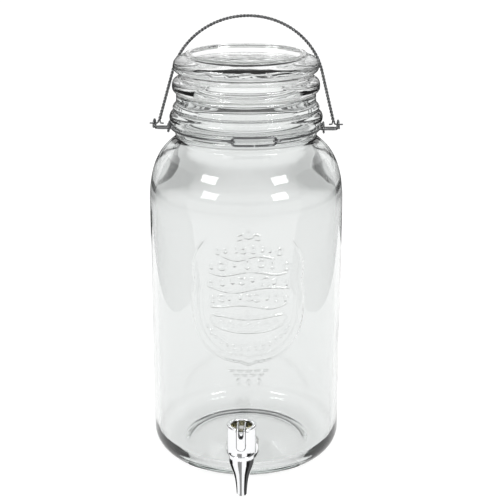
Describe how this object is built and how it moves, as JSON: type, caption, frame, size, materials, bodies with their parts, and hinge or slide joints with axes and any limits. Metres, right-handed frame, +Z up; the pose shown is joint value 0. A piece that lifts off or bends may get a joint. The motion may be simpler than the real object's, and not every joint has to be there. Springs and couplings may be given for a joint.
{
  "type": "glass dispenser jar with tap",
  "caption": "Clear glass jar with a lift-off glass lid, a twisted wire bail held by a clasped wire band, and a chromed lever tap low on the front.",
  "frame": {"origin": "centre of the ring on the jar's underside that it stands on, on the jar's axis", "axes": "+Z up along the jar's axis; -Y to the front, where the tap is; the bail's ears are on +X and -X"},
  "size_m": [0.1548, 0.1889, 0.3557],
  "materials": {
    "glass": "clear pressed soda-lime glass, faint green-grey tint in thick parts",
    "wire": "bright plated steel wire",
    "tap_chrome": "mirror chrome plating",
    "silicone": "translucent white silicone",
    "black_rubber": "matte black rubber",
    "steel": "turned stainless steel",
    "white_plastic": "satin moulded plastic"
  },
  "bodies": {
    "jar": {"jar": "glass", "band_back": "wire", "band_front_left": "wire", "band_front_right": "wire", "clasp_link": "wire", "ear_left": "wire", "ear_right": "wire", "tap_body": "tap_chrome", "tap_bonnet": "tap_chrome", "bonnet_gasket": "black_rubber", "stem_oring": "black_rubber", "outer_washer": "silicone", "inner_washer": "silicone", "shank_nut": "white_plastic"},
    "lid": {"lid": "glass", "lid_gasket": "silicone"},
    "bail": {"bail_strand_a": "wire", "bail_strand_b": "wire"},
    "stem": {"valve_stem": "steel", "seat_cup": "black_rubber"},
    "lever": {"tap_lever": "tap_chrome", "lever_pin": "steel"}
  },
  "joints": [
    {"name": "lid_lift", "type": "slide", "parent": "jar", "child": "lid", "axis": [0, -0.5736, 0.8192], "range_m": [0, 0.12]},
    {"name": "bail_swing", "type": "hinge", "parent": "jar", "child": "bail", "pos_m": [0, 0, 0.276], "axis": [1, 0, 0], "range_deg": [-69, 135]},
    {"name": "stem_lift", "type": "slide", "parent": "jar", "child": "stem", "axis": [0, 0, 1], "range_m": [0, 0.0035]},
    {"name": "lever_flip", "type": "hinge", "parent": "stem", "child": "lever", "pos_m": [0, -0.0974, 0.05773], "axis": [-1, 0, 0], "range_deg": [0, 90]}
  ],
  "couplings": [
    {"joint": "stem_lift", "follows": "lever_flip", "m_per_rad": 0.002228}
  ]
}
